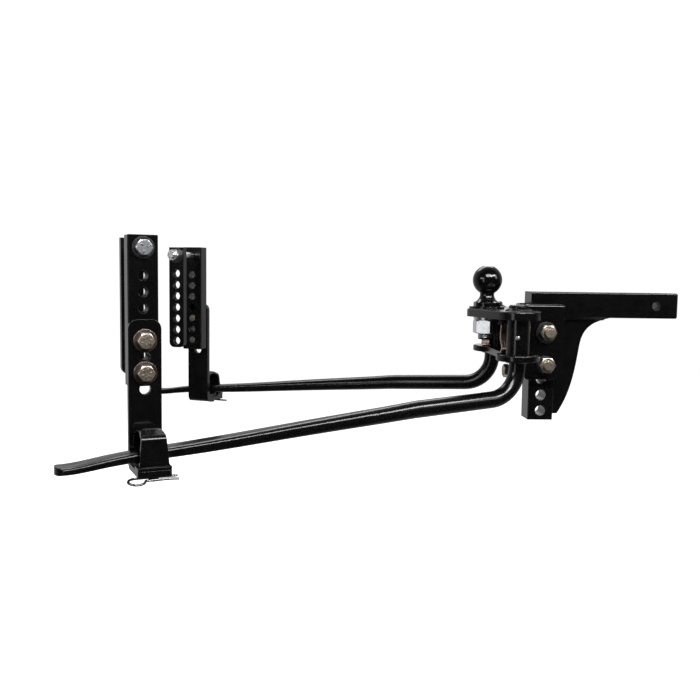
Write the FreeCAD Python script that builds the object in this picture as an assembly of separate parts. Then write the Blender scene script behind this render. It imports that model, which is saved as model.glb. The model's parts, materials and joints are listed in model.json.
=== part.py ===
import FreeCAD, Part
import math
import os

# Weight distribution hitch, millimetres.
# Origin: centre of the hitch-pin hole in the shank.  +X points to the tow vehicle, +Z is up,
# -Y is the "near" side and +Y the "far" side.
#
# Each side arm (spring bar, frame bracket, cap, hairpin) is drawn in its own arm frame:
# x runs along the bar away from the head, y points outwards, z is up, and the
# trunnion axis is x = y = 0.  near() and far() place an arm shape in the row frame.

V = FreeCAD.Vector
X_AXIS = V(1, 0, 0)
Y_AXIS = V(0, 1, 0)
Z_AXIS = V(0, 0, 1)

# ---- driving dimensions --------------------------------------------------------------
SHANK = 50.8                 # square section of bar and post
PIN_HOLE_R = 8.3             # for a 5/8 in hitch pin
POST_X = -228.6              # pin hole to post centreline
BAR_FRONT_X = 44.5           # pin hole to the end inside the receiver
POST_BOTTOM_Z = -231.5
POST_HOLE_R = 10.3
POST_HOLE_PITCH = 31.75
POST_HOLES = 6
GUSSET_T = 19.0

PIVOT_Z = -54.0              # upper head bolt; the lower one is two holes down
LOCK_Z = PIVOT_Z - 2 * POST_HOLE_PITCH
HEAD_BOLT_R = 9.525
HEAD_BOLT_AF = 28.6
TILT_DEG = 5.0

CHEEK_T = 22.0
CHEEK_GAP = 0.3
CHEEK_TOP_Z = 1.0
CHEEK_BOTTOM_Z = -147.6
CHEEK_FRONT = 36.2           # cheek edges, from the post centreline
CHEEK_REAR = -39.5
CHEEK_WING = -70.0

PLATFORM_TOP = -10.0
PLATFORM_T = 16.0
LOWER_TOP = -92.0
LOWER_T = 12.7
LOBE_R = 42.0
HEAD_EDGE = -38.0            # front edge of both plates, from the post centreline

BALL_X = POST_X - 109.0
BALL_R = 29.37               # 2-5/16 in ball
BALL_Z = 47.0
BALL_STEM_R = 15.875
BALL_NUT_AF = 47.6

TRUNNION_X = POST_X - 70.8
TRUNNION_Y = 108.0
TRUNNION_R = 15.875
TUBE_R = 22.2
TUBE_BORE_R = 15.96
TUBE_TOP = -5.5
TUBE_BOTTOM = -108.5
GROOVE_Z = -83.0
GROOVE_R = 13.3
GREASE_TURN = 16.0           # grease fitting sits this far round the tube, towards the trailer

CLIP_X = TRUNNION_X - 31.0   # pivot pin of the retaining clip
CLIP_Z = -32.5
CLIP_W = 18.0
CLIP_TURN = 50.0             # clip sits this far round the tube, towards the ball
CLIP_T = 2.0
CLIP_PIN_R = 2.4

ARM_DEG = 22.5               # splay of each arm from the X axis
BEND_R = 60.0
ARM_Z = -172.8               # arm centreline produced back to the trunnion axis
ARM_SLOPE = math.tan(math.radians(3.25))
KINK_X = 218.0
TAPER_SLOPE = math.tan(math.radians(5.2))
TIP_X = 836.8
TIP_H = 12.0
TIP_W = 42.0

BRACKET_X = 695.8            # bracket centre along the bar
LINK_Y = -27.0               # outer face of the link bracket's upright
LINK_T = 9.5
LINK_W = 52.0
LINK_TOP = -20.4
FOOT_TOP = -246.0
FOOT_Y = 41.5
PAD_TOP = -238.9
HOLE_PITCH = 25.4
LINK_HOLE_R = 8.75
LINK_HOLES = (-53.6, -79.0, -104.4, -129.8)
LINK_BOLTS = (LINK_HOLES[0], LINK_HOLES[2])
BOLT_R = 7.94                # 5/8 in bolts on the frame brackets
BOLT_AF = 23.8

OUTER_W = 48.0
OUTER_T = 28.0
OUTER_TOP = 111.5
OUTER_BOTTOM = -126.5
TAPPED_R = 8.1
TAPPED_TOP = 48.0
TAPPED_HOLES = 7
FRAME_BOLT_Z = 91.5
RAIL_GAP = 56.0
INNER_W = 37.0
INNER_T = 12.7
INNER_TOP = 109.0
INNER_BOTTOM = -117.0
INNER_HOLE_LOW = -102.0
INNER_HOLES = 7

CAP_HALF = 23.5              # half width of the cap at the foot
CAP_TOP_HALF = 18.0
CAP_T = 5.0
CAP_TOP = -186.0
CAP_FRONT_Y = 37.0
STUD_Y = 28.0
STUD_R = 8.0
STUD_BOTTOM = -264.0
WIRE_R = 2.0
WIRE_Z = -258.5
WIRE_TILT = -9.0             # turn of the hairpin about its straight leg


# ---- helpers -------------------------------------------------------------------------
def box(x0, x1, y0, y1, z0, z1):
    return Part.makeBox(x1 - x0, y1 - y0, z1 - z0, V(x0, y0, z0))


def rod(radius, start, end):
    axis = V(*end) - V(*start)
    return Part.makeCylinder(radius, axis.Length, V(*start), axis)


def plate_xz(points, y0, y1):
    """A plate from an outline in X and Z, between two Y planes."""
    wire = Part.makePolygon([V(x, y0, z) for x, z in points] + [V(points[0][0], y0, points[0][1])])
    return Part.Face(wire).extrude(V(0, y1 - y0, 0))


def edges_where(shape, test):
    return [edge for edge in shape.Edges if test(edge)]


def is_along(edge, axis):
    if edge.Curve.TypeId != "Part::GeomLine":
        return False
    return abs(abs(edge.tangentAt(edge.FirstParameter).dot(axis)) - 1) < 1e-6


def round_edges(shape, radius, test):
    return shape.makeFillet(radius, edges_where(shape, test))


def revolve_z(points, x, y):
    """A turned piece from (radius, z) points, about a vertical axis through x, y."""
    wire = Part.makePolygon([V(r, 0, z) for r, z in points] + [V(points[0][0], 0, points[0][1])])
    shape = Part.Face(wire).revolve(V(0, 0, 0), Z_AXIS, 360)
    shape.translate(V(x, y, 0))
    return shape


def hexagon(flats, height, both_ends=False):
    """A hexagonal prism on Z with its top corners (or both ends) chamfered at 30 degrees."""
    corner = flats / math.sqrt(3)
    points = [V(corner * math.cos(math.radians(60 * i)), corner * math.sin(math.radians(60 * i)), 0)
              for i in range(7)]
    prism = Part.Face(Part.makePolygon(points)).extrude(V(0, 0, height))
    drop = (corner - flats * 0.48) * math.tan(math.radians(30))
    low = drop if both_ends else 0.0
    rim = corner + 0.01
    turned = revolve_z([(0, 0), (flats * 0.48 if both_ends else rim, 0), (rim, low),
                        (rim, height - drop), (flats * 0.48, height), (0, height)]
                       if both_ends else
                       [(0, 0), (rim, 0), (rim, height - drop), (flats * 0.48, height), (0, height)], 0, 0)
    return prism.common(turned)


def aim(shape, origin, direction):
    """Move a shape drawn on +Z so that it stands at origin along direction."""
    shape = shape.copy()
    turn = FreeCAD.Rotation(Z_AXIS, V(*direction))
    shape.Placement = FreeCAD.Placement(V(*origin), turn).multiply(shape.Placement)
    return shape


def hex_bolt(radius, length, flats, head):
    """A bolt on Z: its head sits below z = 0 and its shank runs up to z = length."""
    shank = Part.makeCylinder(radius, length)
    shank = round_or_chamfer(shank, 1.2, length)
    top = hexagon(flats, head)
    top.rotate(V(0, 0, 0), X_AXIS, 180)
    return shank.fuse(top)


def round_or_chamfer(shape, size, z):
    return shape.makeChamfer(size, edges_where(shape, lambda e: abs(e.BoundBox.ZMin - z) < 1e-6
                                               and abs(e.BoundBox.ZMax - z) < 1e-6))


def nut(radius, flats, height):
    return hexagon(flats, height, both_ends=True).cut(Part.makeCylinder(radius, height))


def washer(radius, bore, thickness):
    disc = Part.makeCylinder(radius, thickness).cut(Part.makeCylinder(bore, thickness))
    return disc.makeChamfer(thickness * 0.2, edges_where(disc, lambda e: e.Length > 2 * math.pi * bore * 1.1
                                                         and e.BoundBox.ZMin > thickness / 2))


def weld(start, end, leg, side_a, side_b):
    """A weld bead from start to end, in the corner between directions side_a and side_b."""
    start = V(*start)
    run = V(*end) - start
    a = V(*side_a) * leg
    b = V(*side_b) * leg
    middle = (a + b) * 0.42
    bulge = Part.Arc(start + a, start + a * 0.42 + b * 0.42 + middle * 0.35, start + b).toShape()
    wire = Part.Wire([Part.makeLine(start, start + a), bulge, Part.makeLine(start + b, start)])
    return Part.Face(wire).extrude(run)


def near(shape):
    """Arm frame to row frame on the near (-Y) side."""
    placed = shape.copy()
    placed.rotate(V(0, 0, 0), Z_AXIS, 180 + ARM_DEG)
    placed.translate(V(TRUNNION_X, -TRUNNION_Y, 0))
    return placed


def far(shape):
    return near(shape).mirror(V(0, 0, 0), Y_AXIS)


def mirrored(shape):
    return shape.mirror(V(0, 0, 0), Y_AXIS)


def save(name, shape):
    shape.exportStep("parts/" + name + ".step")


def save_pair(name, arm_shape):
    save(name + "_near", near(arm_shape))
    save(name + "_far", far(arm_shape))


# ---- shank ---------------------------------------------------------------------------
def post_hole_heights():
    return [PIVOT_Z - POST_HOLE_PITCH * i for i in range(POST_HOLES)]


def shank_bar():
    half = SHANK / 2
    shape = box(POST_X - half, BAR_FRONT_X, -half, half, -half, half)
    shape = round_edges(shape, 3.2, lambda e: is_along(e, X_AXIS))
    shape = shape.makeChamfer(2.5, edges_where(shape, lambda e: e.BoundBox.XMin > BAR_FRONT_X - 0.01))
    return shape.cut(rod(PIN_HOLE_R, (0, -half - 1, 0), (0, half + 1, 0)))


def shank_post():
    half = SHANK / 2
    shape = box(POST_X - half, POST_X + half, -half, half, POST_BOTTOM_Z, -half)
    shape = round_edges(shape, 2.4, lambda e: is_along(e, Z_AXIS))
    for z in post_hole_heights():
        shape = shape.cut(rod(POST_HOLE_R, (POST_X, -half - 1, z), (POST_X, half + 1, z)))
    return shape


def shank_gusset():
    """Web plate between post and bar with a swept front edge."""
    x = POST_X + SHANK / 2
    top = -SHANK / 2
    edge = [(POST_X + 143, top), (POST_X + 122, -31.5), (POST_X + 102, -41.5), (POST_X + 88, -58),
            (POST_X + 79.5, -90), (POST_X + 72, -135), (POST_X + 62, -173), (POST_X + 50, -202),
            (POST_X + 39, -221)]
    curve = Part.BSplineCurve()
    curve.interpolate([V(px, -GUSSET_T / 2, pz) for px, pz in edge])
    foot = V(x, -GUSSET_T / 2, -221)
    corner = V(x, -GUSSET_T / 2, top)
    wire = Part.Wire([Part.makeLine(corner, V(edge[0][0], -GUSSET_T / 2, top)), curve.toShape(),
                      Part.makeLine(V(edge[-1][0], -GUSSET_T / 2, -221), foot), Part.makeLine(foot, corner)])
    shape = Part.Face(wire).extrude(V(0, GUSSET_T, 0))
    return shape.makeFillet(1.5, edges_where(shape, lambda e: e.Curve.TypeId == "Part::GeomBSplineCurve"))


def shank_welds():
    x = POST_X + SHANK / 2
    z = -SHANK / 2
    half = GUSSET_T / 2
    beads = []
    for side in (-1, 1):
        beads.append(weld((x, side * half, -219), (x, side * half, z - 7), 5.5, (1, 0, 0), (0, side, 0)))
        beads.append(weld((x + 7, side * half, z), (POST_X + 128, side * half, z), 5.5, (0, 0, -1), (0, side, 0)))
    return Part.makeCompound(beads)


def head_bolt(z, length_spare):
    """Bolt across the post: head on the far side, thread end on the near side."""
    outer = SHANK / 2 + CHEEK_GAP + CHEEK_T + CHEEK_GAP + 4.0
    length = 2 * outer + 16.4 + length_spare
    return aim(hex_bolt(HEAD_BOLT_R, length, HEAD_BOLT_AF, 11.9), (POST_X, outer, z), (0, -1, 0))


def head_washers(z, radius):
    face = SHANK / 2 + CHEEK_T + 2 * CHEEK_GAP
    ring = washer(radius, HEAD_BOLT_R + 0.3, 4.0)
    return Part.makeCompound([aim(ring, (POST_X, -face, z), (0, -1, 0)), aim(ring, (POST_X, face, z), (0, 1, 0))])


def head_nut(z):
    face = SHANK / 2 + CHEEK_T + 2 * CHEEK_GAP + 4.0
    shape = nut(HEAD_BOLT_R, HEAD_BOLT_AF, 16.4)
    return aim(shape, (POST_X, -face, z), (0, -1, 0))


# ---- head ----------------------------------------------------------------------------
def cheek_plate():
    """Near cheek: clamps the post and runs back as a wing between the two head plates."""
    y0 = -(SHANK / 2 + CHEEK_GAP + CHEEK_T)
    y1 = -(SHANK / 2 + CHEEK_GAP)
    low = LOWER_TOP - LOWER_T
    under = PLATFORM_TOP - PLATFORM_T
    outline = [(HEAD_EDGE, CHEEK_TOP_Z), (CHEEK_FRONT, CHEEK_TOP_Z), (CHEEK_FRONT, CHEEK_BOTTOM_Z),
               (CHEEK_REAR, CHEEK_BOTTOM_Z), (CHEEK_REAR, low), (HEAD_EDGE, low), (HEAD_EDGE, LOWER_TOP),
               (CHEEK_WING, LOWER_TOP), (CHEEK_WING, under), (HEAD_EDGE, under)]
    shape = plate_xz([(POST_X + x, z) for x, z in outline], y0, y1)
    shape = round_edges(shape, 5.0, lambda e: e.BoundBox.ZMin > 0.5 and (
        is_along(e, X_AXIS) and e.BoundBox.YMax < y0 + 0.01) or is_along(e, Y_AXIS) and e.BoundBox.ZMin > 0.5)
    shape = round_edges(shape, 4.0, lambda e: is_along(e, Y_AXIS) and e.BoundBox.ZMax < CHEEK_BOTTOM_Z + 1)
    shape = shape.cut(rod(POST_HOLE_R, (POST_X, y0 - 1, PIVOT_Z), (POST_X, y1 + 1, PIVOT_Z)))
    return shape.cut(tilt_slot(y0 - 1, y1 + 1))


def tilt_slot(y0, y1):
    """Arc slot about the pivot bolt that lets the head tilt by TILT_DEG past the lock bolt."""
    radius = PIVOT_Z - LOCK_Z
    r_in = radius - POST_HOLE_R
    r_out = radius + POST_HOLE_R

    def at(r, deg):
        a = math.radians(deg)
        return V(POST_X + r * math.sin(a), y0, PIVOT_Z - r * math.cos(a))

    end = TILT_DEG
    ring = Part.Wire([
        Part.Arc(at(r_in, 0), at(r_in, end / 2), at(r_in, end)).toShape(),
        Part.makeLine(at(r_in, end), at(r_out, end)),
        Part.Arc(at(r_out, end), at(r_out, end / 2), at(r_out, 0)).toShape(),
        Part.makeLine(at(r_out, 0), at(r_in, 0))])
    slot = Part.Face(ring).extrude(V(0, y1 - y0, 0))
    for deg in (0, end):
        p = at(radius, deg)
        slot = slot.fuse(rod(POST_HOLE_R, (p.x, y0, p.z), (p.x, y1, p.z)))
    return slot


def wrap_plate(circles, z0, z1):
    """Plate whose outline wraps circles (x, y, radius), given anticlockwise, with tangent lines."""
    normals = []
    for (xa, ya, ra), (xb, yb, rb) in zip(circles, circles[1:] + circles[:1]):
        run = math.hypot(xb - xa, yb - ya)
        angle = math.atan2(yb - ya, xb - xa) - math.acos((ra - rb) / run)
        normals.append(angle)
    edges = []
    for i, (x, y, r) in enumerate(circles):
        start, end = normals[i - 1], normals[i]
        while end < start:
            end += 2 * math.pi
        arc = [V(x + r * math.cos(a), y + r * math.sin(a), z0) for a in (start, (start + end) / 2, end)]
        edges.append(Part.Arc(*arc).toShape())
        nx, ny, nr = circles[(i + 1) % len(circles)]
        edges.append(Part.makeLine(arc[2], V(nx + nr * math.cos(end), ny + nr * math.sin(end), z0)))
    return Part.Face(Part.Wire(edges)).extrude(V(0, 0, z1 - z0))


def cheek_space(z0, z1):
    """Room for the post and cheeks in front of HEAD_EDGE."""
    half = SHANK / 2 + CHEEK_GAP + CHEEK_T
    return box(POST_X + HEAD_EDGE, POST_X + 60, -half, half, z0, z1)


def socket_holes(z0, z1):
    return [rod(TUBE_R, (TRUNNION_X, side * TRUNNION_Y, z0), (TRUNNION_X, side * TRUNNION_Y, z1))
            for side in (-1, 1)]


def platform_plate():
    """Top plate: carries the ball and the tops of both socket tubes."""
    z0 = PLATFORM_TOP - PLATFORM_T
    shape = wrap_plate([(TRUNNION_X, -TRUNNION_Y, LOBE_R), (TRUNNION_X, TRUNNION_Y, LOBE_R), (BALL_X, 0, 39)],
                       z0, PLATFORM_TOP)
    shape = round_edges(shape, 3.5, lambda e: e.BoundBox.ZMin > PLATFORM_TOP - 0.01)
    shape = shape.cut(cheek_space(z0 - 1, PLATFORM_TOP + 1))
    boss = Part.makeCylinder(35, 4, V(BALL_X, 0, PLATFORM_TOP)).cut(
        Part.makeCylinder(29, 4, V(BALL_X, 0, PLATFORM_TOP)))
    shape = shape.fuse(boss)
    for hole in socket_holes(z0 - 1, PLATFORM_TOP + 1):
        shape = shape.cut(hole)
    return shape.cut(rod(BALL_STEM_R + 0.4, (BALL_X, 0, z0 - 1), (BALL_X, 0, PLATFORM_TOP + 1)))


def lower_plate():
    """Bottom plate: two lobes round the socket tubes joined by a strap under the cheek wings."""
    z0 = LOWER_TOP - LOWER_T
    shape = box(TRUNNION_X - 22, POST_X + HEAD_EDGE, -TRUNNION_Y, TRUNNION_Y, z0, LOWER_TOP)
    for side in (-1, 1):
        lobe = Part.makeCylinder(LOBE_R - 1.5, LOWER_T, V(TRUNNION_X, side * TRUNNION_Y, z0))
        lobe = lobe.makeFillet(2.5, [e for e in lobe.Edges if e.Length > 200])
        shape = shape.fuse(lobe)
    shape = shape.cut(cheek_space(z0 - 1, LOWER_TOP + 1))
    shape = shape.removeSplitter()
    for hole in socket_holes(z0 - 1, LOWER_TOP + 1):
        shape = shape.cut(hole)
    return shape


def head_webs():
    """Upright webs from the cheek wings out to the socket tubes."""
    y_in = SHANK / 2 + CHEEK_GAP + CHEEK_T
    webs = []
    for side in (-1, 1):
        y = sorted((side * y_in, side * (TRUNNION_Y - TUBE_R + 4)))
        web = box(TRUNNION_X - 3, TRUNNION_X + 9, y[0], y[1], LOWER_TOP, PLATFORM_TOP - PLATFORM_T)
        webs.append(web.cut(rod(TUBE_R, (TRUNNION_X, side * TRUNNION_Y, -100), (TRUNNION_X, side * TRUNNION_Y, 0))))
    return Part.makeCompound(webs)


def head_welds():
    """Beads where the plates meet the cheeks and where the tubes meet the plates."""
    y = SHANK / 2 + CHEEK_GAP + CHEEK_T
    x = POST_X + HEAD_EDGE
    beads = []
    for side in (-1, 1):
        for z, up in ((PLATFORM_TOP, 1), (LOWER_TOP - LOWER_T, -1)):
            ring = Part.makeTorus(TUBE_R + 1.0, 2.6, V(TRUNNION_X, side * TRUNNION_Y, z))
            keep = box(TRUNNION_X - 40, TRUNNION_X + 40, side * TRUNNION_Y - 40, side * TRUNNION_Y + 40,
                       min(z, z + up * 10), max(z, z + up * 10))
            ring = ring.common(keep)
            ring = ring.cut(rod(TUBE_R, (TRUNNION_X, side * TRUNNION_Y, -120), (TRUNNION_X, side * TRUNNION_Y, 10)))
            beads.append(ring)
        beads.append(weld((x, side * y, LOWER_TOP), (x, side * y, PLATFORM_TOP - PLATFORM_T), 0.01 + 4.5,
                          (-1, 0, 0), (0, side, 0)))
    return Part.makeCompound(beads)


def turn_clip(shape):
    """Swing a near-side shape drawn behind the tube round to where the clip sits."""
    shape = shape.copy()
    shape.rotate(V(TRUNNION_X, -TRUNNION_Y, 0), Z_AXIS, -CLIP_TURN)
    return shape


def socket_tube():
    x, y = TRUNNION_X, -TRUNNION_Y
    shape = revolve_z([(TUBE_BORE_R, TUBE_BOTTOM), (TUBE_R - 1.2, TUBE_BOTTOM), (TUBE_R, TUBE_BOTTOM + 1.2),
                       (TUBE_R, TUBE_TOP - 1.2), (TUBE_R - 1.2, TUBE_TOP), (TUBE_BORE_R, TUBE_TOP)], x, y)
    window = box(x - TUBE_R - 2, x - 10, y - 7.5, y + 7.5, GROOVE_Z - 4, GROOVE_Z + 4)
    grease = turn_grease(rod(2.5, (x, y - TUBE_R - 2, -60), (x, y, -60)))
    return shape.cut(turn_clip(window)).cut(grease)


def socket_cap():
    """Dust cap pressed on the top of the socket tube."""
    z = TUBE_TOP
    return revolve_z([(0, z), (19, z), (19, z + 4.2), (18, z + 6), (16.2, z + 7), (0, z + 7.6)],
                     TRUNNION_X, -TRUNNION_Y)


def turn_grease(shape):
    """Moves something from straight out of the near tube to the grease fitting's place round it."""
    shape.rotate(V(TRUNNION_X, -TRUNNION_Y, 0), Z_AXIS, -GREASE_TURN)
    return shape


def grease_fitting():
    """Hexagon, collar and ball nipple, drawn on Z and screwed into the tube wall."""
    stem = Part.makeCylinder(2.5, 5.0, V(0, 0, -5.0))
    body = hexagon(8.0, 4.0)
    nipple = revolve_z([(0, 4), (2.1, 4), (2.1, 6), (3.0, 7.2), (3.0, 8.4), (1.8, 9.8), (0, 9.8)], 0, 0)
    shape = body.fuse(nipple).fuse(stem)
    return turn_grease(aim(shape, (TRUNNION_X, -TRUNNION_Y - TUBE_R - 0.05, -60), (0, -1, 0)))


def tow_ball():
    """Ball, waisted neck, hexagon-flatted base and threaded stem, turned in one piece."""
    neck_z = BALL_Z - math.sqrt(BALL_R ** 2 - 14.5 ** 2)
    outline = [V(0, 0, BALL_Z + BALL_R - 2), V(9, 0, BALL_Z + BALL_R - 2)]
    flat_z = BALL_Z + math.sqrt(BALL_R ** 2 - 9.5 ** 2)
    outline[0] = V(0, 0, flat_z)
    outline[1] = V(9.5, 0, flat_z)
    ball = Part.Arc(outline[1], V(BALL_R, 0, BALL_Z), V(14.5, 0, neck_z)).toShape()
    flare = Part.BSplineCurve()
    flare.interpolate([V(14.5, 0, neck_z), V(14.2, 0, 16), V(16.5, 0, 10), V(24.5, 0, 3.5)])
    base = [V(24.5, 0, 3.5), V(27.3, 0, 2.2), V(27.3, 0, -8.8), V(26.3, 0, PLATFORM_TOP),
            V(BALL_STEM_R, 0, PLATFORM_TOP), V(BALL_STEM_R, 0, -70.5), V(BALL_STEM_R - 1.6, 0, -72.0),
            V(0, 0, -72.0), outline[0], outline[1]]
    edges = [ball, flare.toShape()]
    edges += [Part.makeLine(a, b) for a, b in zip(base[:-1], base[1:])]
    face = Part.Face(Part.Wire(Part.__sortEdges__(edges)))
    shape = face.revolve(V(0, 0, 0), Z_AXIS, 360)
    shape.translate(V(BALL_X, 0, 0))
    for side in (-1, 1):
        x = sorted((BALL_X + side * 24.6, BALL_X + side * 30))
        shape = shape.cut(box(x[0], x[1], -30, 30, PLATFORM_TOP - 0.5, 3.0))
    return shape


def ball_lock_washer():
    z = PLATFORM_TOP - PLATFORM_T
    ring = Part.makeCylinder(25.5, 6.6, V(BALL_X, 0, z - 6.6)).cut(
        Part.makeCylinder(BALL_STEM_R + 0.4, 6.6, V(BALL_X, 0, z - 6.6)))
    ring = round_edges(ring, 0.8, lambda e: e.Length > 150)
    split = box(BALL_X - 30, BALL_X - 10, -1.5, 1.5, z - 8, z + 1)
    split.rotate(V(BALL_X, 0, z - 3.3), X_AXIS, 18)
    return ring.cut(split)


def ball_nut():
    z = PLATFORM_TOP - PLATFORM_T - 6.6
    shape = nut(BALL_STEM_R, BALL_NUT_AF, 27.4)
    shape.rotate(V(0, 0, 0), Z_AXIS, 33)
    shape.translate(V(BALL_X, 0, z - 27.4))
    return shape


def set_block():
    """Cross bar between the cheeks, tapped for the angle set bolt."""
    half = SHANK / 2 + CHEEK_GAP
    shape = box(POST_X - 52, POST_X - 39.5, -half, half, -147.0, -124.0)
    return shape.cut(rod(BOLT_R, (POST_X - 60, 0, -135.5), (POST_X - 30, 0, -135.5)))


def set_bolt():
    return aim(hex_bolt(BOLT_R, 36.0, BOLT_AF, 10.0), (POST_X - 61.7, 0, -135.5), (1, 0, 0))


def set_jam_nut():
    return aim(nut(BOLT_R, BOLT_AF, 8.0), (POST_X - 60.0, 0, -135.5), (1, 0, 0))


def clip_lugs():
    """Two ears per side under the platform that hold the clip's pivot pin."""
    under = PLATFORM_TOP - PLATFORM_T
    ears = []
    for y_in in (CLIP_W / 2 + 0.6, -CLIP_W / 2 - 4.6):
        y = -TRUNNION_Y + y_in
        ear = box(CLIP_X - 5, CLIP_X + 5, y, y + 4, CLIP_Z, under)
        ear = ear.fuse(rod(5, (CLIP_X, y, CLIP_Z), (CLIP_X, y + 4, CLIP_Z)))
        ear = turn_clip(ear.cut(rod(CLIP_PIN_R, (CLIP_X, y - 1, CLIP_Z), (CLIP_X, y + 5, CLIP_Z))))
        ears += [ear, mirrored(ear)]
    return Part.makeCompound(ears)


def clip_pin():
    y = -TRUNNION_Y
    reach = CLIP_W / 2 + 6.5
    pin = rod(CLIP_PIN_R, (CLIP_X, y - reach, CLIP_Z), (CLIP_X, y + reach, CLIP_Z))
    head = rod(3.8, (CLIP_X, y - reach - 2, CLIP_Z), (CLIP_X, y - CLIP_W / 2 - 4.7, CLIP_Z))
    return turn_clip(pin.fuse(head))


def retaining_clip():
    """Leaf with a rolled eye on the pin, a tongue into the trunnion groove and a thumb lip."""
    y0 = -TRUNNION_Y - CLIP_W / 2
    eye = rod(CLIP_PIN_R + 0.06 + CLIP_T, (CLIP_X, y0, CLIP_Z), (CLIP_X, y0 + CLIP_W, CLIP_Z))
    outer = CLIP_X - 2.2
    curve = [V(outer, y0, CLIP_Z - 1), V(outer - 2.4, y0, -50), V(outer - 1.6, y0, -70),
             V(outer + 1.2, y0, GROOVE_Z), V(outer - 3.4, y0, -90.5)]
    back = [p + V(CLIP_T, 0, 0) for p in reversed(curve)]
    front_edge = Part.BSplineCurve()
    front_edge.interpolate(curve)
    back_edge = Part.BSplineCurve()
    back_edge.interpolate(back)
    wire = Part.Wire([front_edge.toShape(), Part.makeLine(curve[-1], back[0]), back_edge.toShape(),
                      Part.makeLine(back[-1], curve[0])])
    leaf = Part.Face(wire).extrude(V(0, CLIP_W, 0))
    tongue = box(outer + 2.0, TRUNNION_X - GROOVE_R - 0.9, -TRUNNION_Y - 5.5, -TRUNNION_Y + 5.5,
                 GROOVE_Z - 1.2, GROOVE_Z + 1.2)
    shape = eye.fuse(leaf).fuse(tongue)
    shape = shape.cut(rod(CLIP_PIN_R + 0.06, (CLIP_X, y0 - 1, CLIP_Z), (CLIP_X, y0 + CLIP_W + 1, CLIP_Z)))
    hole = rod(3.0, (CLIP_X - 20, -TRUNNION_Y, -74), (CLIP_X + 6, -TRUNNION_Y, -74))
    return turn_clip(shape.cut(hole))


# ---- spring bar (arm frame) ----------------------------------------------------------
def arm_centre_z(x):
    if x <= KINK_X:
        return ARM_Z - x * ARM_SLOPE
    return ARM_Z - KINK_X * ARM_SLOPE - (x - KINK_X) * TAPER_SLOPE


def arm_section(x, width, height, power):
    """Closed section on a vertical plane; power 1 is an ellipse, smaller is squarer."""
    z = arm_centre_z(x)
    points = []
    for i in range(32):
        a = 2 * math.pi * i / 32
        c, s = math.cos(a), math.sin(a)
        points.append(V(x, width / 2 * math.copysign(abs(c) ** power, c),
                        z + height / 2 * math.copysign(abs(s) ** power, s)))
    curve = Part.BSplineCurve()
    curve.interpolate(points, PeriodicFlag=True)
    return Part.Wire(curve.toShape())


def taper_size(x):
    t = max(0.0, (x - KINK_X) / (TIP_X - KINK_X))
    start = 2 * (TRUNNION_R - 0.1)
    width = start + (TIP_W - start) * t
    height = start + (TIP_H - start) * t
    return width, height, 1.0 - 0.52 * min(1.0, 1.6 * t)


def round_bar():
    """Trunnion, bend and the round first run of the arm, swept in one piece."""
    slope = math.radians(3.3)
    tangent = BEND_R * math.tan((math.pi / 2 - slope) / 2)
    top = V(0, 0, TUBE_TOP - 3.0)
    start = V(0, 0, ARM_Z + tangent)
    end = V(tangent * math.cos(slope), 0, ARM_Z - tangent * math.sin(slope))
    centre = V(BEND_R, 0, ARM_Z + tangent)
    mid_angle = math.pi + (math.pi / 2 - slope) / 2
    middle = centre + V(BEND_R * math.cos(mid_angle), 0, BEND_R * math.sin(mid_angle))
    path = Part.Wire([Part.Arc(start, middle, end).toShape(), Part.makeLine(end, V(KINK_X, 0, arm_centre_z(KINK_X)))])
    profile = Part.Wire(Part.makeCircle(TRUNNION_R, start, Z_AXIS))
    bend = path.makePipeShell([profile], True, False)
    trunnion = Part.makeCylinder(TRUNNION_R, top.z - start.z, start)
    trunnion = trunnion.makeChamfer(2.0, edges_where(trunnion, lambda e: e.BoundBox.ZMin > top.z - 0.01))
    return trunnion.fuse(bend).removeSplitter()


def spring_bar():
    """Round bar that flattens and tapers from the kink to a round-nosed flat tip."""
    body = round_bar()
    stations = [KINK_X - 8, KINK_X, KINK_X + 30, KINK_X + 120, KINK_X + 260, KINK_X + 420, TIP_X - 70, TIP_X]
    taper = Part.makeLoft([arm_section(x, *taper_size(x)) for x in stations], True, False)
    nose = Part.makeCylinder(TIP_W * 0.62, 60, V(TIP_X - TIP_W * 0.62, 0, -260))
    keep = nose.fuse(box(KINK_X - 20, TIP_X - TIP_W * 0.62, -60, 60, -270, -120))
    taper = taper.common(keep)
    groove = Part.makeCylinder(TRUNNION_R + 2, 5.0, V(0, 0, GROOVE_Z - 2.5)).cut(
        Part.makeCylinder(GROOVE_R, 5.0, V(0, 0, GROOVE_Z - 2.5)))
    return body.cut(groove).fuse(taper)


# ---- frame bracket (arm frame) -------------------------------------------------------
def cross_hole(radius, z, y0, y1, x=BRACKET_X):
    return rod(radius, (x, y0, z), (x, y1, z))


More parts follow.
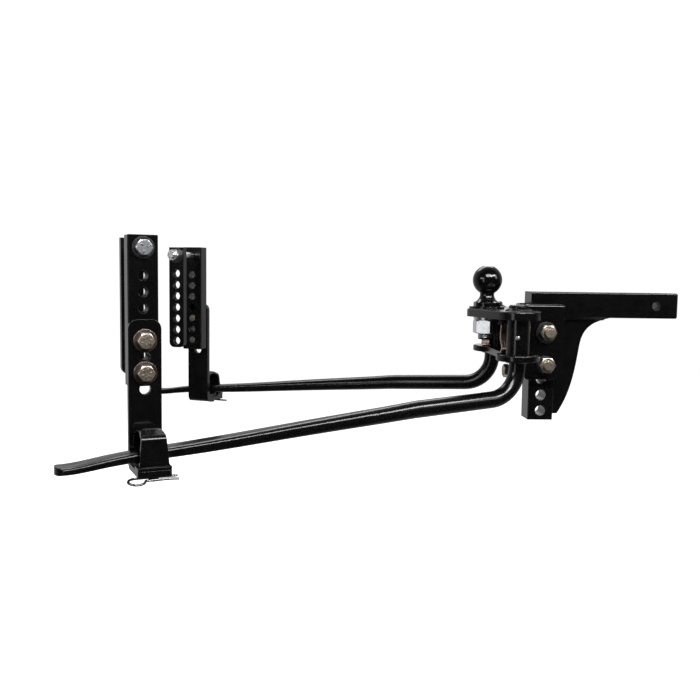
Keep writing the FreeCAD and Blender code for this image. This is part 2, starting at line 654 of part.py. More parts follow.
def link_bracket():
    """L bracket: drilled upright with a rounded top, foot turned outwards under the bar."""
    x0, x1 = BRACKET_X - LINK_W / 2, BRACKET_X + LINK_W / 2
    y0 = LINK_Y - LINK_T
    bottom = FOOT_TOP - LINK_T
    upright = box(x0, x1, y0, LINK_Y, bottom, LINK_TOP)
    upright = round_edges(upright, 15.0, lambda e: is_along(e, Y_AXIS) and e.BoundBox.ZMin > LINK_TOP - 1)
    foot = box(x0, x1, LINK_Y, FOOT_Y, bottom, FOOT_TOP)
    foot = foot.makeChamfer(3.0, edges_where(foot, lambda e: is_along(e, Z_AXIS) and e.BoundBox.YMin > FOOT_Y - 1))
    shape = upright.fuse(foot).removeSplitter()
    shape = round_edges(shape, 5.0, lambda e: is_along(e, X_AXIS) and abs(e.BoundBox.YMin - LINK_Y) < 0.01
                        and abs(e.BoundBox.ZMin - FOOT_TOP) < 0.01)
    shape = round_edges(shape, 13.0, lambda e: is_along(e, X_AXIS) and abs(e.BoundBox.YMin - y0) < 0.01
                        and abs(e.BoundBox.ZMin - bottom) < 0.01)
    for z in LINK_HOLES:
        shape = shape.cut(cross_hole(LINK_HOLE_R, z, y0 - 1, LINK_Y + 1))
    return shape.cut(rod(STUD_R + 0.3, (BRACKET_X, STUD_Y, bottom - 1), (BRACKET_X, STUD_Y, FOOT_TOP + 1)))


def frame_plate_outer():
    x0, x1 = BRACKET_X - OUTER_W / 2, BRACKET_X + OUTER_W / 2
    y1 = LINK_Y - LINK_T
    shape = box(x0, x1, y1 - OUTER_T, y1, OUTER_BOTTOM, OUTER_TOP)
    shape = round_edges(shape, 2.4, lambda e: is_along(e, Z_AXIS) or (is_along(e, Y_AXIS)))
    for i in range(TAPPED_HOLES):
        shape = shape.cut(cross_hole(TAPPED_R, TAPPED_TOP - HOLE_PITCH * i, y1 - OUTER_T - 1, y1 + 1))
    return shape.cut(cross_hole(LINK_HOLE_R, FRAME_BOLT_Z, y1 - OUTER_T - 1, y1 + 1))


def inner_faces():
    """Y planes of the inner frame plate."""
    y1 = LINK_Y - LINK_T - OUTER_T - RAIL_GAP
    return y1 - INNER_T, y1


def frame_plate_inner():
    x0, x1 = BRACKET_X - INNER_W / 2, BRACKET_X + INNER_W / 2
    y0, y1 = inner_faces()
    shape = box(x0, x1, y0, y1, INNER_BOTTOM, INNER_TOP)
    shape = round_edges(shape, 12.0, lambda e: is_along(e, Y_AXIS) and e.BoundBox.ZMax < INNER_BOTTOM + 1)
    for i in range(INNER_HOLES):
        shape = shape.cut(cross_hole(LINK_HOLE_R, INNER_HOLE_LOW + HOLE_PITCH * i, y0 - 1, y1 + 1))
    return shape.cut(cross_hole(LINK_HOLE_R, FRAME_BOLT_Z, y0 - 1, y1 + 1))


def frame_bolt():
    y_head = LINK_Y - LINK_T + 3.2
    y_end = inner_faces()[0] - 3.2 - 14.0 - 6.0
    bolt = hex_bolt(BOLT_R, y_head - y_end, BOLT_AF, 10.0)
    return aim(bolt, (BRACKET_X, y_head, FRAME_BOLT_Z), (0, -1, 0))


def frame_washers():
    ring = washer(17.6, BOLT_R + 0.3, 3.2)
    return Part.makeCompound([aim(ring, (BRACKET_X, LINK_Y - LINK_T, FRAME_BOLT_Z), (0, 1, 0)),
                              aim(ring, (BRACKET_X, inner_faces()[0], FRAME_BOLT_Z), (0, -1, 0))])


def frame_nut():
    return aim(nut(BOLT_R, BOLT_AF, 14.0), (BRACKET_X, inner_faces()[0] - 3.2, FRAME_BOLT_Z), (0, -1, 0))


def link_bolts():
    bolt = hex_bolt(BOLT_R, 3.6 + LINK_T + OUTER_T - 1.0, BOLT_AF, 10.0)
    return Part.makeCompound([aim(bolt, (BRACKET_X, LINK_Y + 3.6, z), (0, -1, 0)) for z in LINK_BOLTS])


def link_washers():
    ring = washer(18.6, BOLT_R + 0.3, 3.6)
    return Part.makeCompound([aim(ring, (BRACKET_X, LINK_Y, z), (0, 1, 0)) for z in LINK_BOLTS])


def wear_pad():
    shape = box(BRACKET_X - CAP_HALF, BRACKET_X + CAP_HALF, LINK_Y + 6.0, 13.5, FOOT_TOP, PAD_TOP)
    return round_edges(shape, 3.0, lambda e: is_along(e, Z_AXIS))


def bent_line(points, radii, shift):
    """Lines and arcs of a bent line in Y and Z at X = 0, moved `shift` to its left."""
    path = [V(0, y, z) for y, z in points]
    edges = []
    last = None
    for i, radius in enumerate([0] + radii + [0]):
        point = path[i]
        before = (point - path[i - 1]).normalize() if i else (path[1] - point).normalize()
        after = (path[i + 1] - point).normalize() if i + 1 < len(path) else before
        left = X_AXIS.cross(before)
        start = point + left * shift
        end = start
        if radius:
            turn = before.getAngle(after)
            side = 1 if left.dot(after) > 0 else -1
            start = start - before * radius * math.tan(turn / 2)
            end = point + after * radius * math.tan(turn / 2) + X_AXIS.cross(after) * shift
            centre = start + left * (side * radius - shift)
            middle = centre + (point - centre).normalize() * (radius - side * shift)
        if last is not None:
            edges.append(Part.makeLine(last, start))
        if radius:
            edges.append(Part.Arc(start, middle, end).toShape())
        last = end
    return edges


def bent_strip(points, radii, thickness, x0, x1):
    """Sheet metal of even thickness folded along a bent line, between two X planes."""
    left = bent_line(points, radii, thickness / 2)
    right = bent_line(points, radii, -thickness / 2)
    ends = [Part.makeLine(left[i].Vertexes[i].Point, right[i].Vertexes[i].Point) for i in (0, -1)]
    wire = Part.Wire(left + [ends[1]] + right[::-1] + [ends[0]])
    strip = Part.Face(wire).extrude(V(x1 - x0, 0, 0))
    strip.translate(V(x0, 0, 0))
    return strip


def cap_outline():
    """Front view of the cap as a block: sides lean in and the top corners are rounded."""
    points = [(-CAP_HALF, FOOT_TOP), (CAP_HALF, FOOT_TOP), (CAP_TOP_HALF, CAP_TOP), (-CAP_TOP_HALF, CAP_TOP)]
    block = plate_xz([(BRACKET_X + x, z) for x, z in points], -80, 80)
    return round_edges(block, 9.0, lambda e: is_along(e, Y_AXIS) and e.BoundBox.ZMin > CAP_TOP - 1)


def retainer_cap():
    """Folded cap over the bar: leg on the upright, arched top, front wall, base plate on the foot and stud."""
    half = CAP_T / 2
    back, front = LINK_Y + half, CAP_FRONT_Y - half
    crest = CAP_TOP - half
    line = [(back, -222), (back, crest - 8), (back + 18, crest), (12, crest), (front - 3, crest - 9),
            (front, FOOT_TOP + CAP_T)]
    shape = bent_strip(line, [8.0, 14.0, 18.0, 7.0], CAP_T, BRACKET_X - CAP_HALF, BRACKET_X + CAP_HALF)
    shape = shape.common(cap_outline())
    base = box(BRACKET_X - LINK_W / 2, BRACKET_X + LINK_W / 2, 14.0, FOOT_Y, FOOT_TOP, FOOT_TOP + CAP_T)
    shape = shape.fuse(round_edges(base, 3.0, lambda e: is_along(e, Z_AXIS))).removeSplitter()
    stud = Part.makeCylinder(STUD_R, FOOT_TOP - STUD_BOTTOM, V(BRACKET_X, STUD_Y, STUD_BOTTOM))
    stud = stud.makeChamfer(1.5, edges_where(stud, lambda e: e.BoundBox.ZMax < STUD_BOTTOM + 0.01))
    shape = shape.fuse(stud)
    return shape.cut(rod(WIRE_R + 0.35, (BRACKET_X - 20, STUD_Y, WIRE_Z), (BRACKET_X + 20, STUD_Y, WIRE_Z)))


def hairpin():
    """Spring wire: straight leg through the stud, eye at the rear, outer leg that runs clear of the stud."""
    x, y, z = BRACKET_X, STUD_Y, WIRE_Z
    eye = 12.5
    neck = 4.0
    flare = 28.0
    centre = V(x + 28, y + eye, z)
    start = V(x - 37, y, z)
    leg_end = V(centre.x, y, z)
    turn = math.radians(80)
    out = V(-math.sin(turn), math.cos(turn), 0)
    closing = centre + out * eye
    neck_centre = centre + out * (eye + neck)
    neck_middle = neck_centre + V(math.sin(turn / 2), -math.cos(turn / 2), 0) * neck
    outer_start = neck_centre + V(0, -neck, 0)
    outer_end = V(x - 24, outer_start.y, z)
    lift = math.radians(25)
    flare_middle = outer_end + V(-math.sin(lift / 2), 1 - math.cos(lift / 2), 0) * flare
    tip = outer_end + V(-math.sin(lift), 1 - math.cos(lift), 0) * flare
    path = Part.Wire([
        Part.makeLine(start, leg_end),
        Part.Arc(leg_end, centre + V(eye, 0, 0), closing).toShape(),
        Part.Arc(closing, neck_middle, outer_start).toShape(),
        Part.makeLine(outer_start, outer_end),
        Part.Arc(outer_end, flare_middle, tip).toShape(),
    ])
    profile = Part.Wire(Part.makeCircle(WIRE_R, start, X_AXIS))
    shape = path.makePipeShell([profile], True, False)
    shape.rotate(V(x, y, z), X_AXIS, WIRE_TILT)
    return shape


# ---- write every node ----------------------------------------------------------------
def main():
    os.makedirs("parts", exist_ok=True)
    save("shank_bar", shank_bar())
    save("shank_post", shank_post())
    save("shank_gusset", shank_gusset())
    save("shank_welds", shank_welds())
    save("pivot_bolt", head_bolt(PIVOT_Z, 7.0))
    save("pivot_washers", head_washers(PIVOT_Z, 21.0))
    save("pivot_nut", head_nut(PIVOT_Z))
    save("lock_bolt", head_bolt(LOCK_Z, 5.0))
    save("lock_washers", head_washers(LOCK_Z, 17.5))
    save("lock_nut", head_nut(LOCK_Z))
    save("cheek_plate_near", cheek_plate())
    save("cheek_plate_far", mirrored(cheek_plate()))
    save("platform_plate", platform_plate())
    save("lower_plate", lower_plate())
    save("head_webs", head_webs())
    save("head_welds", head_welds())
    save("tow_ball", tow_ball())
    save("ball_lock_washer", ball_lock_washer())
    save("ball_nut", ball_nut())
    save("set_block", set_block())
    save("set_bolt", set_bolt())
    save("set_jam_nut", set_jam_nut())
    save("clip_lugs", clip_lugs())
    for name, make in (("socket_tube", socket_tube), ("socket_cap", socket_cap),
                       ("grease_fitting", grease_fitting), ("clip_pin", clip_pin),
                       ("retaining_clip", retaining_clip)):
        save(name + "_near", make())
        save(name + "_far", mirrored(make()))
    for name, make in (("spring_bar", spring_bar), ("link_bracket", link_bracket),
                       ("frame_plate_outer", frame_plate_outer), ("frame_plate_inner", frame_plate_inner),
                       ("frame_bolt", frame_bolt), ("frame_washers", frame_washers), ("frame_nut", frame_nut),
                       ("link_bolts", link_bolts), ("link_washers", link_washers), ("wear_pad", wear_pad),
                       ("retainer_cap", retainer_cap), ("hairpin", hairpin)):
        save_pair(name, make())


main()
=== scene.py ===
"""Weight distribution hitch: materials, small detail pieces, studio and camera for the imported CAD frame.

Everything is in metres in the frame of the hitch: origin at the hitch-pin hole, +X to the tow vehicle, +Z up.
"""
import json
import math

import bmesh
import bpy
from mathutils import Matrix, Vector


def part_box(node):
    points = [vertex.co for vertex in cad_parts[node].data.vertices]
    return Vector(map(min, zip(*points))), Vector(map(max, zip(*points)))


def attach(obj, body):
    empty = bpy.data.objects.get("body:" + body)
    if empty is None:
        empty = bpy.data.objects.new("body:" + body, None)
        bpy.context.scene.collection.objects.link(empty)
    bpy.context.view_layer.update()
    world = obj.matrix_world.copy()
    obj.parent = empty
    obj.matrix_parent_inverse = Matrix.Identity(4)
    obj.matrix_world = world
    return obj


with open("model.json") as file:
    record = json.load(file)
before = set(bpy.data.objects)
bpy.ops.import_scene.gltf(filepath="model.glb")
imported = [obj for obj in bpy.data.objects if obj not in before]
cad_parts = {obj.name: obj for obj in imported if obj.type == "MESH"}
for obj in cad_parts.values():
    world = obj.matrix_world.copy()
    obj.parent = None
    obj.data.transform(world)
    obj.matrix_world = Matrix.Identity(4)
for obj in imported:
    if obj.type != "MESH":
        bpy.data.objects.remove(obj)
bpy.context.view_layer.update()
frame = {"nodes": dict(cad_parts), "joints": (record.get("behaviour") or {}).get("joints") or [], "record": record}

# ---- dimensions shared with the hitch -------------------------------------------------
ARM_ANGLE = math.radians(22.5)       # splay of each spring bar from the X axis
HEAD_BOLT_R = 0.009525
FRAME_BOLT_R = 0.00794
BALL_STEM_R = 0.015875
LINK_WASHER_R = 0.0186
FRAME_HEAD_REACH = 0.1201            # frame nut's middle to the top of the bolt head
LINK_HEAD_REACH = 0.0118             # link washer's middle to the top of the bolt head
MARK_SIZE = (0.0064, 0.0017, 0.0007)  # raised strength mark: length, width, height
MARK_AT = 0.0066
LINK_MARKS = 6
FRAME_MARKS = 3
HEAD_PITCH = 0.0016                  # thread pitches
STEM_PITCH = 0.0024
FRAME_PITCH = 0.0018
THREAD_START = 0.0008                # gap between a nut's face and the first thread
THREAD_SHORT = 0.0022                # a thread is this much shorter than what sticks out of the nut
STEM_SHORT = 0.0032                  # the same for the ball's stem
NUT_REACH = 0.0062                   # frame nut's middle to the thread beyond it
NUT_THREAD = 0.0048                  # thread that shows past the frame nut
RUN_START = 0.0235                   # frame nut's middle to the thread between the two plates
RUN_THREAD = 0.026

# ---- camera and studio ----------------------------------------------------------------
CAMERA_AT = (-0.7052, -1.6768, 0.0552)
CAMERA_PITCH = math.radians(5.17)
CAMERA_YAW = math.radians(3.19)
CAMERA_ROLL = math.radians(0.85)
CAMERA_LENS = 43.29
FLOOR_Z = -0.62
FLOOR_MIDDLE = (-0.5, 1.4)
FLOOR_REACH = 3.2
HITCH_MIDDLE = (-0.35, 0, -0.05)
NEAR_BAR = (-0.6, -0.2, -0.18)
FAR_BAR = (-0.65, 0.25, -0.18)


# ---- node helpers ---------------------------------------------------------------------
class Nodes:
    """A material under construction: makes nodes and joins their sockets."""

    def __init__(self, name):
        self.material = bpy.data.materials.new(name)
        self.material.use_nodes = True
        self.tree = self.material.node_tree
        self.shader = self.tree.nodes["Principled BSDF"]
        self.object_coords = self.tree.nodes.new("ShaderNodeTexCoord").outputs["Object"]

    def join(self, source, target):
        self.tree.links.new(source, target)

    def add(self, kind, **settings):
        node = self.tree.nodes.new(kind)
        for key, value in settings.items():
            setattr(node, key, value)
        return node

    def scaled(self, scale, turn=(0, 0, 0)):
        node = self.add("ShaderNodeMapping")
        node.inputs["Scale"].default_value = scale
        node.inputs["Rotation"].default_value = turn
        self.join(self.object_coords, node.inputs["Vector"])
        return node.outputs["Vector"]

    def noise(self, scale, detail=3.0, rough=0.5, coords=None):
        node = self.add("ShaderNodeTexNoise")
        node.inputs["Scale"].default_value = scale
        node.inputs["Detail"].default_value = detail
        node.inputs["Roughness"].default_value = rough
        self.join(coords or self.object_coords, node.inputs["Vector"])
        return node.outputs["Fac"]

    def cells(self, scale, feature="F1"):
        node = self.add("ShaderNodeTexVoronoi", feature=feature)
        node.inputs["Scale"].default_value = scale
        self.join(self.object_coords, node.inputs["Vector"])
        return node.outputs["Distance"]

    def ramp(self, fac, *stops):
        node = self.add("ShaderNodeValToRGB")
        elements = node.color_ramp.elements
        while len(elements) < len(stops):
            elements.new(0.5)
        for element, (place, colour) in zip(elements, stops):
            element.position = place
            element.color = tuple(colour) + (1,) if isinstance(colour, tuple) else (colour, colour, colour, 1)
        self.join(fac, node.inputs["Fac"])
        return node.outputs["Color"]

    def spread(self, fac, low, high):
        node = self.add("ShaderNodeMapRange")
        node.inputs["To Min"].default_value = low
        node.inputs["To Max"].default_value = high
        self.join(fac, node.inputs["Value"])
        return node.outputs["Result"]

    def maths(self, operation, first, second):
        node = self.add("ShaderNodeMath", operation=operation)
        for socket, value in zip(node.inputs, (first, second)):
            if isinstance(value, (int, float)):
                socket.default_value = value
            else:
                self.join(value, socket)
        return node.outputs["Value"]

    def blend(self, fac, first, second):
        node = self.add("ShaderNodeMix", data_type="RGBA")
        self.join(fac, node.inputs["Factor"])
        self.join(first, node.inputs["A"])
        if isinstance(second, tuple):
            node.inputs["B"].default_value = second + (1,)
        else:
            self.join(second, node.inputs["B"])
        return node.outputs["Result"]

    def edge_normal(self, radius):
        node = self.add("ShaderNodeBevel", samples=6)
        node.inputs["Radius"].default_value = radius
        return node.outputs["Normal"]

    def edges(self, bevelled):
        """About 1 on sharp outer edges, 0 on flat faces."""
        geometry = self.add("ShaderNodeNewGeometry")
        dot = self.add("ShaderNodeVectorMath", operation="DOT_PRODUCT")
        self.join(bevelled, dot.inputs[0])
        self.join(geometry.outputs["Normal"], dot.inputs[1])
        return self.ramp(dot.outputs["Value"], (0.78, 1.0), (0.985, 0.0))

    def bump(self, height, strength, distance, normal=None):
        node = self.add("ShaderNodeBump")
        node.inputs["Strength"].default_value = strength
        node.inputs["Distance"].default_value = distance
        self.join(height, node.inputs["Height"])
        if normal is not None:
            self.join(normal, node.inputs["Normal"])
        return node.outputs["Normal"]

    def finish(self, colour, roughness, normal, **constants):
        self.join(colour, self.shader.inputs["Base Color"])
        self.join(roughness, self.shader.inputs["Roughness"])
        self.join(normal, self.shader.inputs["Normal"])
        for name, value in constants.items():
            self.shader.inputs[name.replace("_", " ").title().replace("Ior", "IOR")].default_value = value
        return self.material


# ---- materials ------------------------------------------------------------------------
def powder_coat(name, dark, light, rough, peel):
    """Black powder coat: orange peel, cloudy gloss, and edges that are rougher and lighter, part rubbed coat and
    part painted highlight.
    """
    m = Nodes(name)
    edge = m.edge_normal(0.0011)
    wear_and_edge_highlight = m.maths("MULTIPLY", m.edges(edge), m.ramp(m.noise(190, 4.0, 0.65), (0.46, 0.0), (0.66, 0.8)))
    colour = m.ramp(m.noise(34, 5.0, 0.6), (0.3, dark), (0.75, light))
    # Lighter colour on the sharp edges: painted highlight, broken up by noise like rubbed coat.
    colour = m.blend(wear_and_edge_highlight, colour, (0.045, 0.045, 0.048))
    gloss = m.maths("ADD", m.spread(m.noise(48, 4.0, 0.6), *rough), m.maths("MULTIPLY", wear_and_edge_highlight, 0.16))
    fine = m.bump(m.noise(820, 2.0, 0.45), peel, 0.00025, edge)
    broad = m.bump(m.noise(240, 2.0, 0.5), peel * 0.7, 0.0006, fine)
    return m.finish(colour, gloss, broad, specular_ior_level=0.5)


def weld_coat(name):
    """Powder coat over the stacked ripples of a weld bead."""
    m = Nodes(name)
    ripple = m.add("ShaderNodeTexWave", wave_type="BANDS", bands_direction="DIAGONAL")
    ripple.inputs["Scale"].default_value = 170
    ripple.inputs["Distortion"].default_value = 2.4
    ripple.inputs["Detail"].default_value = 1.5
    ripple.inputs["Detail Scale"].default_value = 2.0
    m.join(m.object_coords, ripple.inputs["Vector"])
    colour = m.ramp(m.noise(120), (0.3, 0.003), (0.75, 0.007))
    rough = m.spread(m.noise(300, 4.0), 0.22, 0.42)
    coarse = m.bump(ripple.outputs["Fac"], 0.8, 0.0011)
    return m.finish(colour, rough, m.bump(m.noise(700), 0.3, 0.0004, coarse), specular_ior_level=0.5)


def plated(name, tints, rough, scratch):
    """Zinc plate: cloudy tint, fine tool marks, small pits and near-white corners, part rubbed plating and part
    painted highlight.
    """
    m = Nodes(name)
    edge = m.edge_normal(0.0006)
    colour = m.ramp(m.noise(75, 5.0, 0.62), *tints)
    pits = m.ramp(m.cells(1400), (0.05, 1.0), (0.16, 0.0))
    grime = m.ramp(m.noise(210, 5.0, 0.7), (0.58, 0.0), (0.80, 0.5))
    colour = m.blend(grime, colour, (0.12, 0.10, 0.085))
    # Near-white colour on every sharp edge: painted highlight over rubbed plating.
    colour = m.blend(m.edges(edge), colour, (0.93, 0.90, 0.84))
    streaks = m.noise(1.0, 4.0, 0.6, m.scaled((380, 380, 2600)))
    gloss = m.maths("ADD", m.spread(streaks, *rough), m.maths("MULTIPLY", grime, 0.18))
    marks = m.bump(streaks, scratch, 0.00012, edge)
    return m.finish(colour, gloss, m.bump(pits, 0.18, -0.0001, marks), metallic=1.0)


def bronze(name):
    """Heat-tinted spring leaf: warm metal with painted shade that turns its edges dark red-brown."""
    m = Nodes(name)
    edge = m.edge_normal(0.0007)
    colour = m.ramp(m.noise(55, 4.0, 0.6), (0.25, (0.66, 0.40, 0.30)), (0.5, (0.92, 0.72, 0.60)),
                    (0.78, (0.97, 0.86, 0.78)))
    # Dark red-brown on the leaf's edges: painted shade beside its bright middle.
    colour = m.blend(m.edges(edge), colour, (0.10, 0.02, 0.015))
    streaks = m.noise(1.0, 4.0, 0.6, m.scaled((1500, 1500, 90)))
    return m.finish(colour, m.spread(streaks, 0.42, 0.60), m.bump(streaks, 0.3, 0.0001, edge), metallic=1.0)


def friction_pad(name):
    """Pressed friction material: dark matrix with pale fibre flecks."""
    m = Nodes(name)
    fibres = m.noise(1.0, 3.0, 0.7, m.scaled((900, 2600, 900), (0.0, 0.0, 0.4)))
    flecks = m.ramp(fibres, (0.62, 0.0), (0.7, 1.0))
    colour = m.blend(flecks, m.ramp(m.noise(400), (0.3, 0.018), (0.75, 0.034)), (0.11, 0.10, 0.085))
    return m.finish(colour, m.spread(m.noise(600), 0.68, 0.9), m.bump(m.noise(1300, 4.0), 0.5, 0.0003))


def make_materials():
    return {
        "black_paint": powder_coat("powder_coat_black", 0.0012, 0.0026, (0.13, 0.22), 0.13),
        "ball_paint": powder_coat("ball_gloss_black", 0.0012, 0.0024, (0.09, 0.15), 0.05),
        "black_satin": powder_coat("satin_black", 0.006, 0.012, (0.28, 0.40), 0.18),
        "weld": weld_coat("weld_bead_black"),
        "zinc_gold": plated("zinc_yellow", ((0.25, (0.34, 0.28, 0.21)), (0.5, (0.62, 0.54, 0.43)),
                                            (0.78, (0.78, 0.66, 0.55))), (0.26, 0.42), 0.4),
        # Darker yellow zinc: the link washers' tone, and painted shade on the raised marks of the link bolt heads.
        "zinc_dark": plated("zinc_yellow_washer_and_mark_shade", ((0.25, (0.13, 0.10, 0.085)), (0.5, (0.20, 0.155, 0.13)),
                                                 (0.78, (0.26, 0.20, 0.17))), (0.26, 0.40), 0.3),
        "zinc_silver": plated("zinc_bright", ((0.25, (0.56, 0.58, 0.60)), (0.5, (0.80, 0.81, 0.83)),
                                              (0.78, (0.70, 0.72, 0.76))), (0.22, 0.36), 0.3),
        # Dark drawn wire for the hairpins, also used as painted shade on the frame bolt's raised marks.
        "steel_wire": plated("drawn_wire_and_mark_shade", ((0.25, (0.16, 0.16, 0.165)), (0.5, (0.24, 0.24, 0.25)),
                                            (0.78, (0.32, 0.32, 0.33))), (0.16, 0.30), 0.3),
        "bronze_leaf": bronze("spring_leaf_bronze"),
        "pad": friction_pad("friction_pad"),
    }


def paint_frame(materials):
    slots = {part["node"]: part["material_slot"] for part in frame["record"]["subparts"]}
    for name, node in frame["nodes"].items():
        key = slots[name]
        if name.endswith("_welds"):
            key = "weld"
        if name == "tow_ball":
            key = "ball_paint"
        if name.startswith("link_washers"):
            key = "zinc_dark"
        if name.startswith("hairpin"):
            key = "steel_wire"
        node.data.materials.clear()
        node.data.materials.append(materials[key])


# ---- small pieces ---------------------------------------------------------------------
def to_mesh(bm, name):
    mesh = bpy.data.meshes.new(name)
    bm.to_mesh(mesh)
    bm.free()
    return mesh


def add_piece(name, mesh, body, material):
    obj = bpy.data.objects.new(name, mesh)
    bpy.context.scene.collection.objects.link(obj)
    mesh.materials.append(material)
    for face in mesh.polygons:
        face.use_smooth = True
    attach(obj, body)


def axis_frame(origin, direction):
    """Matrix that puts local Z along direction at origin."""
    turn = Vector(direction).to_track_quat("Z", "Y").to_matrix().to_4x4()
    return Matrix.Translation(origin) @ turn


def thread_mesh(name, place, radius, pitch, length):
    """A helical ridge with a narrow crest, standing proud of a plain rod that runs along the place's Z."""
    bm = bmesh.new()
    per_turn = 28
    steps = int(length / pitch * per_turn)
    section = ((-0.00012, -0.42), (0.00034, -0.06), (0.00034, 0.06), (-0.00012, 0.42))
    previous = None
    for i in range(steps + 1):
        fade = min(1.0, i / per_turn, (steps - i) / per_turn)
        angle = 2 * math.pi * i / per_turn
        z = pitch * i / per_turn
        ring = []
        for lift, shift in section:
            r = radius + (lift * fade if lift > 0 else lift)
            point = Vector((r * math.cos(angle), r * math.sin(angle), z + shift * pitch))
            ring.append(bm.verts.new(place @ point))
        if previous:
            for a in range(3):
                bm.faces.new((previous[a], ring[a], ring[a + 1], previous[a + 1]))
        previous = ring
    bmesh.ops.recalc_face_normals(bm, faces=bm.faces)
    return to_mesh(bm, name)


def bar_block(bm, place, size, at, turn):
    """Raised bar with sloping sides, at radius `at` and angle `turn`; size is length, width, height."""
    length, width, height = size
    spin = Matrix.Rotation(turn, 4, "Z")
    low = []
    high = []
    for sx, sy in ((-1, -1), (1, -1), (1, 1), (-1, 1)):
        low.append(bm.verts.new(place @ spin @ Vector((at + sx * length / 2, sy * width / 2, -0.00005))))
        high.append(bm.verts.new(place @ spin @ Vector((at + sx * length * 0.44, sy * width * 0.3, height))))
    bm.faces.new(high)
    for i in range(4):
        j = (i + 1) % 4
        bm.faces.new((low[i], low[j], high[j], high[i]))


def grade_marks(name, places, count):
    """Radial strength marks raised on bolt heads."""
    bm = bmesh.new()
    for place in places:
        for i in range(count):
            bar_block(bm, place, MARK_SIZE, MARK_AT, 2 * math.pi * i / count + 0.3)
    bmesh.ops.recalc_face_normals(bm, faces=bm.faces)
    return to_mesh(bm, name)


def across(node, index):
    """Middle of a node's box in one coordinate."""
    low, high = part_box(node)
    return (low[index] + high[index]) / 2


def arm_matrix(side):
    """Arm frame of one side: local X along the bar from the trunnion axis, Y outwards, Z up."""
    joint = next(j for j in frame["joints"] if j["name"] == "bar_swing_" + side)
    x, y, _ = joint["pos_m"]
    sign = -1 if side == "near" else 1
    along = Vector((-math.cos(ARM_ANGLE), sign * math.sin(ARM_ANGLE), 0))
    out = Vector((math.sin(ARM_ANGLE), sign * math.cos(ARM_ANGLE), 0))
    up = Vector((0, 0, 1))
    rows = [list(values) + [0] for values in zip(along, out, up)]
    return Matrix.Translation((x, y, 0)) @ Matrix(rows + [[0, 0, 0, 1]])


def add_thread(name, origin, direction, radius, pitch, length, body, material, slot):
    mesh = thread_mesh(name, axis_frame(origin, direction), radius, pitch, length)
    add_piece(name, mesh, body, material)


def add_head_threads(materials):
    """Threads that show past the two head nuts, below the ball nut and past the set bolt's jam nut."""
    gold = (materials["zinc_gold"], "zinc_gold")
    silver = (materials["zinc_silver"], "zinc_silver")
    for bolt, nut in (("pivot_bolt", "pivot_nut"), ("lock_bolt", "lock_nut")):
        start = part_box(nut)[0][1]
        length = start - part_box(bolt)[0][1] - THREAD_SHORT
        origin = (across(nut, 0), start - THREAD_START, across(nut, 2))
        add_thread(bolt + "_thread", origin, (0, -1, 0), HEAD_BOLT_R, HEAD_PITCH, length, "shank", *gold)
    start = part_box("ball_nut")[0][2]
    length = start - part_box("tow_ball")[0][2] - STEM_SHORT
    origin = (across("ball_nut", 0), across("ball_nut", 1), start - THREAD_START)
    add_thread("ball_stem_thread", origin, (0, 0, -1), BALL_STEM_R, STEM_PITCH, length, "head", *silver)
    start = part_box("set_jam_nut")[1][0]
    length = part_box("set_bolt")[1][0] - start - THREAD_SHORT
    origin = (start, 0, across("set_bolt", 2))
    add_thread("set_bolt_thread", origin, (1, 0, 0), FRAME_BOLT_R, FRAME_PITCH, length, "head", *gold)


def add_bracket_details(materials):
    """Strength marks on the bolt heads, and the frame bolt's thread past its nut and between the plates."""
    silver = (materials["zinc_silver"], "zinc_silver")
    for side in ("near", "far"):
        body = "bracket_" + side
        out = arm_matrix(side).to_3x3() @ Vector((0, 1, 0))
        nut = Vector([across("frame_nut_" + side, i) for i in range(3)])
        low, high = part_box("link_washers_" + side)
        washer = Vector([across("link_washers_" + side, i) for i in range(3)])
        heads = []
        for z in (low[2] + LINK_WASHER_R, high[2] - LINK_WASHER_R):
            centre = Vector((washer.x, washer.y, z))
            heads.append(axis_frame(centre + out * LINK_HEAD_REACH, out))
        # The link bolt marks are made darker than the heads: painted shade of the raised marks.
        mesh = grade_marks("link_bolt_marks_" + side, heads, LINK_MARKS)
        add_piece(mesh.name, mesh, body, materials["zinc_dark"])
        # The frame bolt marks are dark steel on a bright head: painted shade of the raised marks.
        head = axis_frame(nut + out * FRAME_HEAD_REACH, out)
        mesh = grade_marks("frame_bolt_marks_" + side, [head], FRAME_MARKS)
        add_piece(mesh.name, mesh, body, materials["steel_wire"])
        for name, at, way, length in (("frame_bolt_thread_", -NUT_REACH, -out, NUT_THREAD),
                                      ("frame_bolt_run_", RUN_START, out, RUN_THREAD)):
            add_thread(name + side, nut + out * at, way, FRAME_BOLT_R, FRAME_PITCH, length, body, *silver)


# ---- studio and camera ----------------------------------------------------------------
def softbox(name, at, size, power, aim=HITCH_MIDDLE):
    light = bpy.data.lights.new(name, "AREA")
    light.shape = "RECTANGLE"
    light.size, light.size_y = size
    light.energy = power
    obj = bpy.data.objects.new(name, light)
    bpy.context.scene.collection.objects.link(obj)
    obj.location = at
    obj.rotation_euler = (Vector(aim) - Vector(at)).to_track_quat("-Z", "Y").to_euler()
    obj.visible_camera = False


def make_floor():
    bm = bmesh.new()
    bmesh.ops.create_grid(bm, x_segments=8, y_segments=8, size=FLOOR_REACH)
    bmesh.ops.translate(bm, verts=bm.verts, vec=FLOOR_MIDDLE + (FLOOR_Z,))
    mesh = to_mesh(bm, "floor")
    floor = bpy.data.objects.new("floor", mesh)
    bpy.context.scene.collection.objects.link(floor)
    m = Nodes("floor_white")
    m.shader.inputs["Base Color"].default_value = (0.9, 0.9, 0.9, 1)
    m.shader.inputs["Roughness"].default_value = 0.9
    m.shader.inputs["Specular IOR Level"].default_value = 0.0
    m.shader.inputs["Emission Color"].default_value = (1, 1, 1, 1)
    m.shader.inputs["Emission Strength"].default_value = 0.8
    mesh.materials.append(m.material)
    floor.visible_glossy = False


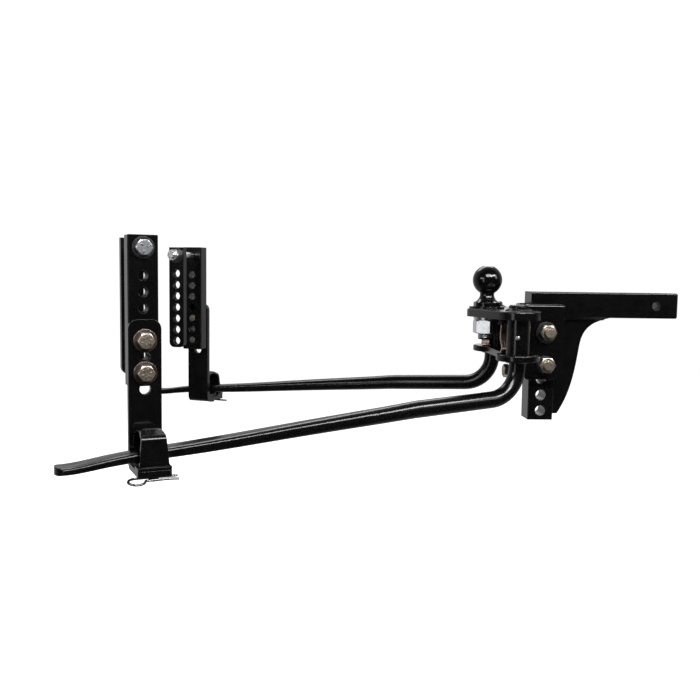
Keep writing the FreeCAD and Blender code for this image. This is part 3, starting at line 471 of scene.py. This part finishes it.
def make_world():
    """White behind and around the hitch, dark on the side where the photographer stands."""
    world = bpy.data.worlds.new("studio")
    bpy.context.scene.world = world
    world.use_nodes = True
    tree = world.node_tree
    tree.nodes.clear()
    output = tree.nodes.new("ShaderNodeOutputWorld")
    mix = tree.nodes.new("ShaderNodeMixShader")
    seen = tree.nodes.new("ShaderNodeBackground")
    seen.inputs["Strength"].default_value = 1.3
    cast = tree.nodes.new("ShaderNodeBackground")
    cast.inputs["Strength"].default_value = 1.0
    path = tree.nodes.new("ShaderNodeLightPath")
    coords = tree.nodes.new("ShaderNodeTexCoord")
    split = tree.nodes.new("ShaderNodeSeparateXYZ")
    ramp = tree.nodes.new("ShaderNodeValToRGB")
    ramp.color_ramp.elements[0].position = 0.42
    ramp.color_ramp.elements[0].color = (0.012, 0.012, 0.012, 1)
    ramp.color_ramp.elements[1].position = 0.85
    ramp.color_ramp.elements[1].color = (0.5, 0.5, 0.5, 1)
    shift = tree.nodes.new("ShaderNodeMapRange")
    shift.inputs["From Min"].default_value = -1
    tree.links.new(coords.outputs["Generated"], split.inputs["Vector"])
    tree.links.new(split.outputs["Y"], shift.inputs["Value"])
    tree.links.new(shift.outputs["Result"], ramp.inputs["Fac"])
    tree.links.new(ramp.outputs["Color"], cast.inputs["Color"])
    tree.links.new(path.outputs["Is Camera Ray"], mix.inputs["Fac"])
    tree.links.new(cast.outputs["Background"], mix.inputs[1])
    tree.links.new(seen.outputs["Background"], mix.inputs[2])
    tree.links.new(mix.outputs["Shader"], output.inputs["Surface"])


def make_studio():
    """Floor, world and soft lights: two strips make the long highlights on the near and far bars."""
    make_floor()
    make_world()
    softbox("front_strip", (-0.4, -2.2, 1.6), (1.9, 0.9), 70)
    softbox("right_strip", (0.55, -1.3, 1.03), (1.3, 0.3), 26, NEAR_BAR)
    softbox("left_strip", (-2.0, -1.1, 0.45), (1.1, 0.25), 5, FAR_BAR)
    softbox("back_box", (-0.5, 1.7, 1.9), (2.6, 1.0), 30)
    softbox("back_panel", (0.35, 2.4, 0.35), (1.7, 0.9), 2.2)
    softbox("left_panel", (-2.1, -1.95, -0.1), (0.5, 1.1), 3.5)
    softbox("right_box", (1.6, -1.1, 0.9), (0.8, 1.0), 8)
    bpy.context.scene.view_settings.view_transform = "Standard"
    bpy.context.scene.view_settings.look = "None"


def make_camera():
    data = bpy.data.cameras.new("camera")
    data.lens = CAMERA_LENS
    data.sensor_width = 36
    data.clip_end = 60
    camera = bpy.data.objects.new("camera", data)
    bpy.context.scene.collection.objects.link(camera)
    right = Vector((math.cos(CAMERA_YAW), -math.sin(CAMERA_YAW), 0))
    level = Vector((math.sin(CAMERA_YAW), math.cos(CAMERA_YAW), 0))
    forward = level * math.cos(CAMERA_PITCH) - Vector((0, 0, math.sin(CAMERA_PITCH)))
    up = level * math.sin(CAMERA_PITCH) + Vector((0, 0, math.cos(CAMERA_PITCH)))
    c, s = math.cos(CAMERA_ROLL), math.sin(CAMERA_ROLL)
    x_axis = right * c + up * s
    y_axis = up * c - right * s
    rotation = Matrix((x_axis, y_axis, -forward)).transposed()
    camera.matrix_world = Matrix.Translation(CAMERA_AT) @ rotation.to_4x4()
    bpy.context.scene.camera = camera


# ---- put it together ------------------------------------------------------------------
materials = make_materials()
paint_frame(materials)
add_head_threads(materials)
add_bracket_details(materials)
make_studio()
make_camera()
